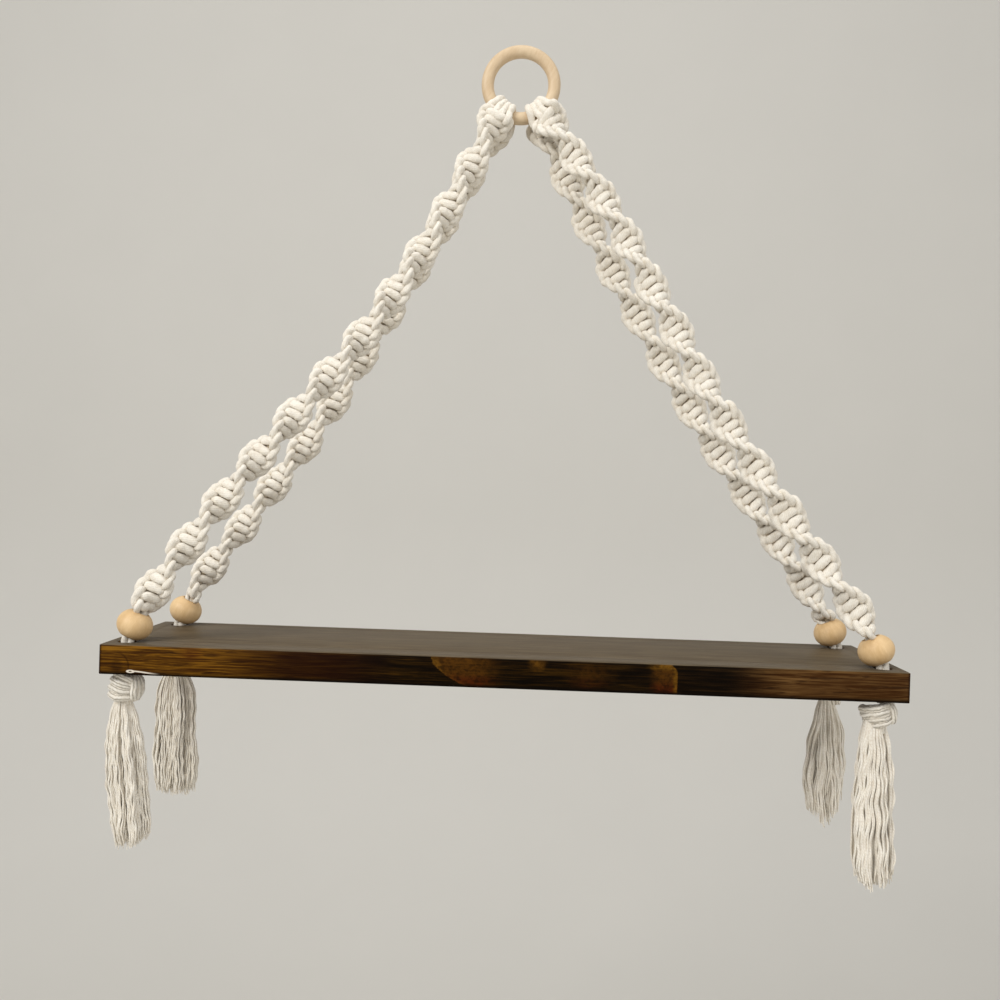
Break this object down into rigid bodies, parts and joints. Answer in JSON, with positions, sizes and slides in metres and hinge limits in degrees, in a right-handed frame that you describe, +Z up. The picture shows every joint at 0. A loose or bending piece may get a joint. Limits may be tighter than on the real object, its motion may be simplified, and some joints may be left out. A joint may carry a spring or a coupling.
{
  "type": "hanging rope shelf",
  "caption": "Stained wooden shelf board hung from a wooden ring by twisted macrame cord legs, with beads above the board and tassels below.",
  "frame": {"origin": "the nail's seat: the highest point of the ring's opening, halfway through the thickness of its bar", "axes": "+Z up, +Y into the wall, +X along the board to the right as seen from the front"},
  "size_m": [0.512, 0.114, 0.5664],
  "materials": {
    "ring_wood": "smooth sanded pale wood",
    "bead_wood": "smooth sanded pale wood",
    "board_wood": "dark brown stain, satin",
    "cotton_cord": "soft spun natural cotton cord",
    "cotton_yarn": "combed-out wavy cotton yarn"
  },
  "bodies": {
    "ring": {"ring": "ring_wood", "cord_bights_left": "cotton_cord", "cord_bights_right": "cotton_cord"},
    "hanger": {"shelf_board": "board_wood", "sennit_front_left": "cotton_cord", "sennit_front_right": "cotton_cord", "sennit_rear_left": "cotton_cord", "sennit_rear_right": "cotton_cord", "leg_cords_front_left": "cotton_cord", "leg_cords_front_right": "cotton_cord", "leg_cords_rear_left": "cotton_cord", "leg_cords_rear_right": "cotton_cord", "knot_front_left": "cotton_cord", "knot_front_right": "cotton_cord", "knot_rear_left": "cotton_cord", "knot_rear_right": "cotton_cord"},
    "bead_front_left": {"bead_front_left": "bead_wood"},
    "bead_front_right": {"bead_front_right": "bead_wood"},
    "bead_rear_left": {"bead_rear_left": "bead_wood"},
    "bead_rear_right": {"bead_rear_right": "bead_wood"},
    "tassel_front_left": {"tassel_front_left": "cotton_yarn"},
    "tassel_front_right": {"tassel_front_right": "cotton_yarn"},
    "tassel_rear_left": {"tassel_rear_left": "cotton_yarn"},
    "tassel_rear_right": {"tassel_rear_right": "cotton_yarn"}
  },
  "joints": [
    {"name": "board_swing", "type": "hinge", "parent": "ring", "child": "hanger", "pos_m": [0, 0, -0.03857], "axis": [-1, 0, 0], "range_deg": [0, 45]},
    {"name": "bead_turn_front_left", "type": "hinge", "parent": "hanger", "child": "bead_front_left", "pos_m": [-0.23756, -0.08007, -0.40422], "axis": [0.4024, 0.1293, 0.9063], "continuous": true},
    {"name": "bead_turn_front_right", "type": "hinge", "parent": "hanger", "child": "bead_front_right", "pos_m": [0.23756, -0.08007, -0.40422], "axis": [-0.4024, 0.1293, 0.9063], "continuous": true},
    {"name": "bead_turn_rear_left", "type": "hinge", "parent": "hanger", "child": "bead_rear_left", "pos_m": [-0.23333, 0.00357, -0.40422], "axis": [0.4226, 0.0067, 0.9063], "continuous": true},
    {"name": "bead_turn_rear_right", "type": "hinge", "parent": "hanger", "child": "bead_rear_right", "pos_m": [0.23333, 0.00357, -0.40422], "axis": [-0.4226, 0.0067, 0.9063], "continuous": true},
    {"name": "tassel_swing_front_left", "type": "hinge", "parent": "hanger", "child": "tassel_front_left", "pos_m": [-0.242, -0.0815, -0.4548], "axis": [0, 1, 0], "range_deg": [-25, 25]},
    {"name": "tassel_swing_front_right", "type": "hinge", "parent": "hanger", "child": "tassel_front_right", "pos_m": [0.242, -0.0815, -0.4548], "axis": [0, 1, 0], "range_deg": [-25, 25]},
    {"name": "tassel_swing_rear_left", "type": "hinge", "parent": "hanger", "child": "tassel_rear_left", "pos_m": [-0.238, 0.0035, -0.4548], "axis": [0, 1, 0], "range_deg": [-25, 25]},
    {"name": "tassel_swing_rear_right", "type": "hinge", "parent": "hanger", "child": "tassel_rear_right", "pos_m": [0.238, 0.0035, -0.4548], "axis": [0, 1, 0], "range_deg": [-25, 25]}
  ]
}
